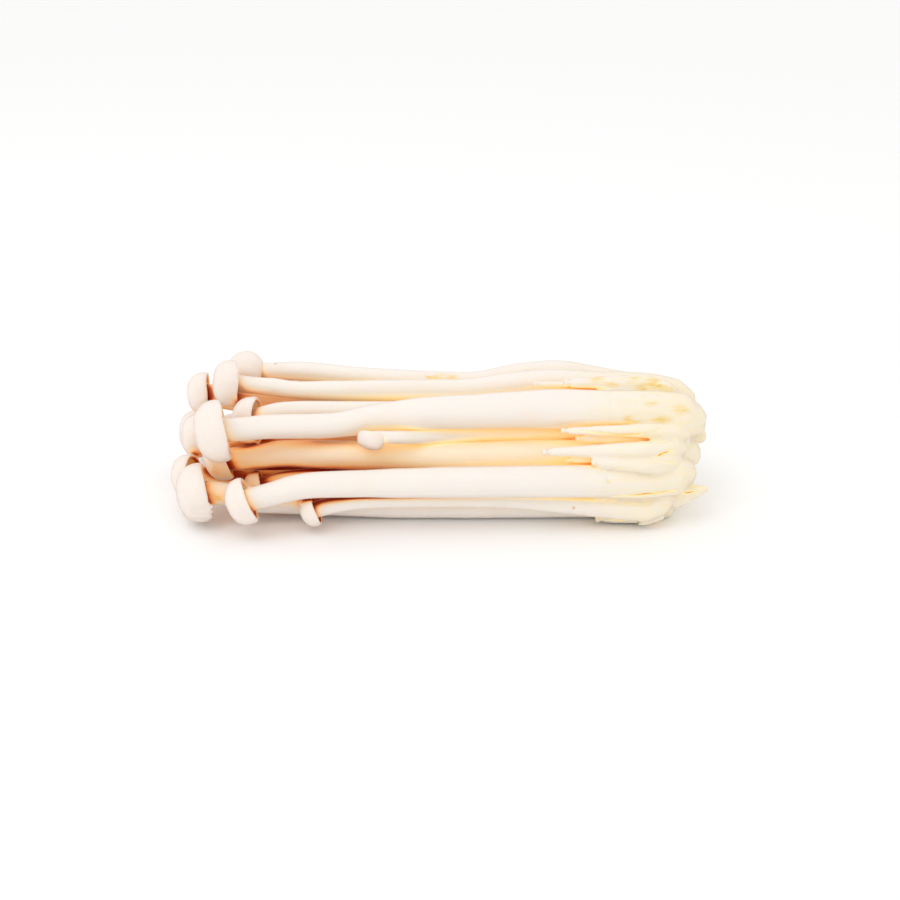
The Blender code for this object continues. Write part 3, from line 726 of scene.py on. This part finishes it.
def button(name, sections, seed):
    """One button mushroom: a flat round head on a rib that widens into the foot."""
    head_radius = max(radius for _, radius in sections[:3])
    tip = sections[0][0]
    kept = sections[3::SECTION_STEP]
    (before, thin), (last, wide) = kept[-2], kept[-1]
    share = (SWELL_START - last.x) / (last.x - before.x)
    met = last.lerp(last + (last - before), share)
    root_radius = min(BUTTON_ROOT, wide + (wide - thin) * share)
    stop_x = root_end_x(name, met.y, met.z) + BUTTON_ROOT_END
    points, sizes = root_sections(name, met, root_radius, stop_x)
    points = [place for place, _ in kept] + [met] + points
    way, radii = smooth_way(points, [size for _, size in kept] + [root_radius] + sizes, ROOT_RING_GAP)
    bm = root_rings(way, radii, seed, BUTTON_SIDES, way[0].x + BUTTON_RIBS)
    rings = []
    for out_share, along in BUTTON_HEAD:
        centre = tip + Vector((along * MM, 0.0, 0.0))
        size = BUTTON_HEAD_SIZE * out_share * head_radius
        rings.append(add_ring(bm, CAPWARD, centre, size, BUTTON_SIDES))
    rings.append(add_ring(bm, CAPWARD, way[1], 0.9 * radii[1], BUTTON_SIDES))
    skin_over(bm, rings)
    close_over(bm, rings[0], tip - Vector((0.4 * MM, 0.0, 0.0)))
    close_over(bm, rings[-1], way[1])
    return bm


def shred(points, sizes, seed):
    """A torn, pointed shred of flesh, split along its length."""
    way, radii = smooth_way([Vector(point) * MM for point in points], [size * MM for size in sizes],
                            SHRED_RING_GAP)
    bm = new_flesh()
    rings = []
    for place, radius in zip(way, radii):
        ring = add_ring(bm, CAPWARD, place, radius, BUTTON_SIDES)
        for vert in ring:
            out = (vert.co - place).normalized()
            split = noise.noise(Vector((place.x * 40.0, out.y * 3.4, out.z * 3.4)) + seed)
            vert.co = place + out * radius * (1.0 + 0.38 * split)
        rings.append(ring)
    skin_over(bm, rings)
    close_over(bm, rings[0], way[0])
    close_over(bm, rings[-1], way[-1])
    return bm


def foot_core():
    """The solid middle of the foot, which the root ends stand out of."""
    bm = new_flesh()
    made = bmesh.ops.create_icosphere(bm, subdivisions=4, radius=1.0)["verts"]
    for vert in made:
        reach = Vector((vert.co.x * CORE_REACH[0], vert.co.y * CORE_REACH[1], vert.co.z * CORE_REACH[2]))
        vert.co = FOOT_MIDDLE + reach * MM
    return bm


def joined(parts):
    """All the given bmeshes in one."""
    whole = bmesh.new()
    for part in parts:
        mesh = bpy.data.meshes.new("part")
        part.to_mesh(mesh)
        part.free()
        whole.from_mesh(mesh)
        bpy.data.meshes.remove(mesh)
    return whole


def grown_together(bm, name):
    """One closed skin over parts that run into each other, its creases softened."""
    made = finished(bm, name)
    fuse = made.modifiers.new("Grown together", "REMESH")
    fuse.mode = "VOXEL"
    fuse.voxel_size = GRAIN
    graph = bpy.context.evaluated_depsgraph_get()
    skin = bmesh.new()
    skin.from_mesh(made.evaluated_get(graph).to_mesh())
    bpy.data.objects.remove(made)
    for _ in range(SMOOTHINGS):
        bmesh.ops.smooth_vert(skin, verts=skin.verts, factor=0.5, use_axis_x=True, use_axis_y=True,
                              use_axis_z=True)
    return skin


def meet_stems(bm):
    """Bring the foot's skin onto the stems' skins near the seams, where they pass into each other."""
    places = np.array([vert.co[:] for vert in bm.verts])
    for number, node in enumerate(mushroom_nodes):
        read = reads[node]
        seed = seed_of(number)
        last_x = read["way"][-1].x
        rows = stem_at(read, places[:, 0])
        off = np.linalg.norm(places - rows[:, :3], axis=1) - rows[:, 3]
        beside = np.abs(places[:, 0] - last_x) < SEAM_LENGTH + 0.5 * MM
        near = np.nonzero((np.abs(off) < 0.8 * MM) & beside)[0]
        for index in near:
            vert = bm.verts[index]
            centre = Vector(rows[index, :3])
            out = (vert.co - centre).normalized()
            along = (vert.co.x - last_x) / SEAM_LENGTH
            feather = SEAM_DIP * (1.0 - min(1.0, max(0.0, along + 1.0) / 0.9)) ** 1.2
            aim = centre + out * (rows[index, 3] * skin_wave(vert.co.x, out, seed) - feather)
            vert.co = vert.co.lerp(aim, min(1.0, max(0.0, 1.0 - along)))


def near_line(places, line, width):
    """How near places are to a line through some points, from 0 to 1, less towards the line's ends."""
    nearest = np.zeros(len(places))
    points = np.array(line) * MM
    for number, (start, stop) in enumerate(zip(points[:-1], points[1:])):
        run = stop - start
        share = np.clip((places - start) @ run / (run @ run), 0.0, 1.0)
        away = np.linalg.norm(places - start - share[:, None] * run, axis=1)
        taper = np.sin(math.pi * (number + share) / (len(points) - 1)) ** 0.4
        nearest = np.maximum(nearest, np.clip(1.0 - away / width, 0.0, 1.0) * taper)
    return nearest


def crack_and_stain(bm):
    """Open the seams between the root ends, mark them for deeper painted shade, and mark where the skin was
    rubbed yellow.
    """
    seam_cut_and_shade = bm.verts.layers.float.new("seam_cut_and_shade")
    stain = bm.verts.layers.float.new("stain")
    bm.normal_update()
    places = np.array([vert.co[:] for vert in bm.verts])
    seam_cuts_and_shade = np.zeros(len(places))
    for line, strength in CRACKS:
        seam_cuts_and_shade = np.maximum(seam_cuts_and_shade, strength * near_line(places, line, CRACK_WIDTH))
    stains = np.zeros(len(places))
    for spot, size in STAINS:
        away = np.linalg.norm((places - np.array(spot) * MM) * (0.55, 1.0, 1.0), axis=1)
        stains = np.maximum(stains, np.clip(1.3 - away / (size * MM), 0.0, 1.0))
    for vert, crack_value, stain_value in zip(bm.verts, seam_cuts_and_shade, stains):
        vert[seam_cut_and_shade] = crack_value
        vert[stain] = stain_value
        vert.co -= vert.normal * (CRACK_DEPTH * crack_value)


# Seams, cut in and darkened with painted shade, and yellow stains that the photographed side shows, in
# millimetres, with their strengths or sizes
CRACKS = [
    ([(37.4, -17.6, 28.6), (42.3, -18.1, 29.0), (48.0, -18.8, 28.5), (53.7, -19.4, 28.2), (59.3, -20.6, 29.1),
      (65.0, -19.7, 30.0), (71.5, -15.0, 29.2), (76.1, -13.2, 29.6)], 0.75),
    ([(48.3, -17.1, 24.6), (54.0, -17.9, 25.1), (59.1, -22.4, 27.5), (64.9, -21.7, 27.6),
      (69.9, -19.5, 26.8)], 0.7),
    ([(48.2, -20.2, 21.6), (55.3, -21.1, 21.5), (60.9, -21.8, 21.8), (64.8, -24.2, 24.2), (68.4, -22.8, 24.8),
      (72.5, -18.4, 24.4)], 0.95),
    ([(60.9, -21.8, 21.8), (63.3, -25.4, 22.9), (66.9, -24.6, 21.8), (70.5, -22.6, 21.6)], 0.85),
    ([(47.0, -20.8, 19.2), (53.4, -25.6, 20.4), (61.8, -26.9, 20.4)], 0.55),
    ([(45.2, -25.4, 11.5), (50.6, -25.9, 12.0), (56.6, -26.2, 12.3), (60.9, -26.3, 12.7), (65.3, -25.3, 12.7),
      (69.8, -24.3, 12.9), (75.5, -19.2, 12.0)], 1.0),
    ([(71.0, -21.5, 10.2), (74.7, -20.9, 10.6), (76.7, -20.8, 11.3)], 0.9),
    ([(72.0, -20.0, 11.6), (74.3, -19.3, 11.9), (76.6, -19.0, 12.2)], 0.9),
    ([(48.9, -21.2, 1.6), (56.1, -21.6, 2.1), (60.0, -25.4, 4.4), (62.9, -24.9, 4.6)], 0.8),
    ([(47.3, -8.8, 36.7), (51.2, -11.9, 36.7), (55.4, -13.2, 36.0), (59.7, -14.1, 35.4),
      (64.0, -14.1, 34.8)], 0.45),
]
STAINS = [
    ((48.8, -4.8, 39.7), 1.6), ((52.3, -5.7, 39.6), 1.6), ((57.5, -5.4, 40.4), 1.6),
    ((61.9, -6.6, 37.7), 1.6), ((65.4, -6.4, 38.9), 2.2), ((68.7, -6.8, 36.5), 1.9),
    ((62.8, -11.3, 36.8), 1.6), ((62.9, -13.7, 35.6), 1.1), ((58.0, -15.4, 30.7), 1.4),
    ((56.8, -15.6, 31.7), 1.1), ((45.5, -27.2, 16.2), 1.5), ((48.6, -26.9, 16.6), 1.3),
    ((42.9, -27.6, 15.0), 1.3), ((71.4, -13.7, 33.7), 1.6), ((65.5, -15.4, 31.3), 1.9),
    ((27.3, 3.5, 35.3), 1.6),
]

# The frayed tip and the lower splinter: places and radii in millimetres, and the seed of their splits
SHREDS = [
    ([(65.9, -16.7, 7.0), (71.9, -18.2, 8.5), (76.4, -19.2, 10.3), (80.2, -19.5, 11.3)], [3.2, 3.1, 1.9, 0.7],
     Vector((5.0, 0.0, 0.0))),
    ([(59.5, -23.2, 1.4), (63.5, -22.4, 2.0), (67.5, -21.2, 3.4)], [0.35, 0.8, 1.2], Vector((9.0, 0.0, 0.0))),
]

parts = [foot_core()]
for number, node in enumerate(mushroom_nodes):
    seed = seed_of(number)
    parts.append(root_end(node, reads[node], seed))
for number, sections in enumerate(read_buttons()):
    parts.append(button("button_%d" % number, sections, Vector((number, 0.0, 0.0))))
for points, sizes, seed in SHREDS:
    parts.append(shred(points, sizes, seed))
skin = grown_together(joined(parts), "fused")
skin.verts.ensure_lookup_table()
meet_stems(skin)
crack_and_stain(skin)
for vert in skin.verts:
    vert.co.z = max(vert.co.z, 0.0)
foot = finished(skin, "torn_foot")
# the foot's painted shade value, written below with the other pieces'
foot.data.attributes.new("crevice_shade", "FLOAT", "POINT")
foot_flesh = flesh_material("foot flesh", STEM_TONE, CAP_TONE, FOOT_TONE)
foot.data.materials.append(foot_flesh)
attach(foot, "root")
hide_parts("foot")
grown["foot"] = foot


# Painted shade and glow between the mushrooms
# Where the mushrooms press together, the flesh is darkened and tinted warm as painted shade, and gets a
# painted orange glow.  Each vertex keeps how closed-in it is, evened out with its neighbours, and the painted
# shade and glow follow it.

RAYS = 24
REACH = 22.0 * MM
RAY_LIFT = 0.45 * MM   # how far above the skin the rays start
RAY_FLOOR = 0.35       # a ray counts by how steeply it leaves the skin, plus this
FAR_LOSS = 0.8         # how much less a thing at full reach counts than one close by
EVENINGS = 3           # times that the values are evened out


def ray_fan():
    """Directions spread evenly over a half sphere round +Z."""
    fan = []
    for index in range(RAYS):
        rise = (index + 0.5) / RAYS
        turn = index * math.pi * (3.0 - math.sqrt(5.0))
        flat = math.sqrt(1.0 - rise * rise)
        fan.append(Vector((flat * math.cos(turn), flat * math.sin(turn), rise)))
    return fan


def closed_in(tree, place, normal, fan):
    """Share of the half sphere over a point that something near blocks, with near things counted most."""
    turn = normal.to_track_quat("Z", "Y").to_matrix()
    start = place + normal * RAY_LIFT
    blocked = 0.0
    total = 0.0
    for ray in fan:
        weight = RAY_FLOOR + ray.z
        distance = tree.ray_cast(start, turn @ ray, REACH)[3]
        total += weight
        if distance is not None:
            blocked += weight * (1.0 - FAR_LOSS * distance / REACH)
    return blocked / total


def paint_crevice_shade(pieces):
    """Write how closed in every piece is, for its painted shade, each measured against all of them together.
    """
    whole = bmesh.new()
    for piece in pieces:
        whole.from_mesh(piece.data)
    tree = BVHTree.FromBMesh(whole)
    whole.free()
    fan = ray_fan()
    for piece in pieces:
        values = np.array([closed_in(tree, vert.co, vert.normal, fan) for vert in piece.data.vertices])
        ends = np.array([edge.vertices[:] for edge in piece.data.edges])
        reached = np.bincount(ends.ravel(), minlength=len(values))
        for _ in range(EVENINGS):
            beside = np.bincount(ends.ravel(), values[ends[:, ::-1]].ravel(), len(values)) / reached
            values = 0.5 * (values + beside)
        # seams marked as cut are darkened further with painted shade
        if "seam_cut_and_shade" in piece.data.attributes:
            seam_cuts_and_shade = np.array([point.value for point in piece.data.attributes["seam_cut_and_shade"].data])
            values = np.maximum(values, np.clip(0.3 * values + 1.3 * seam_cuts_and_shade - 0.1, 0.0, 1.0))
        piece.data.attributes["crevice_shade"].data.foreach_set("value", values)


paint_crevice_shade(list(grown.values()))


# Floor and light
# A plain, near-white table top under one broad soft lamp and a bright, even room.

bpy.context.scene.view_settings.view_transform = "Standard"

bm = bmesh.new()
bmesh.ops.create_grid(bm, x_segments=1, y_segments=1, size=4.0)
floor = finished(bm, "floor")
floor_material = bpy.data.materials.new("pale table")
floor_material.use_nodes = True
floor_shader = floor_material.node_tree.nodes["Principled BSDF"]
floor_shader.inputs["Base Color"].default_value = (0.95, 0.945, 0.94, 1.0)
floor_shader.inputs["Roughness"].default_value = 0.7
floor.data.materials.append(floor_material)

world = bpy.data.worlds.new("bright room")
world.use_nodes = True
world.node_tree.nodes["Background"].inputs["Color"].default_value = (1.0, 1.0, 1.0, 1.0)
world.node_tree.nodes["Background"].inputs["Strength"].default_value = 1.0
bpy.context.scene.world = world


def soft_lamp(name, place, aim, size, watts):
    """A square area lamp at place that faces aim."""
    lamp = bpy.data.objects.new(name, bpy.data.lights.new(name, "AREA"))
    lamp.data.size = size
    lamp.data.energy = watts
    lamp.location = place
    lamp.rotation_euler = (Vector(aim) - Vector(place)).to_track_quat("-Z", "Y").to_euler()
    bpy.context.scene.collection.objects.link(lamp)


soft_lamp("key lamp", (-0.30, -0.35, 0.75), (0.0, 0.0, 0.0), 0.5, 1.3)
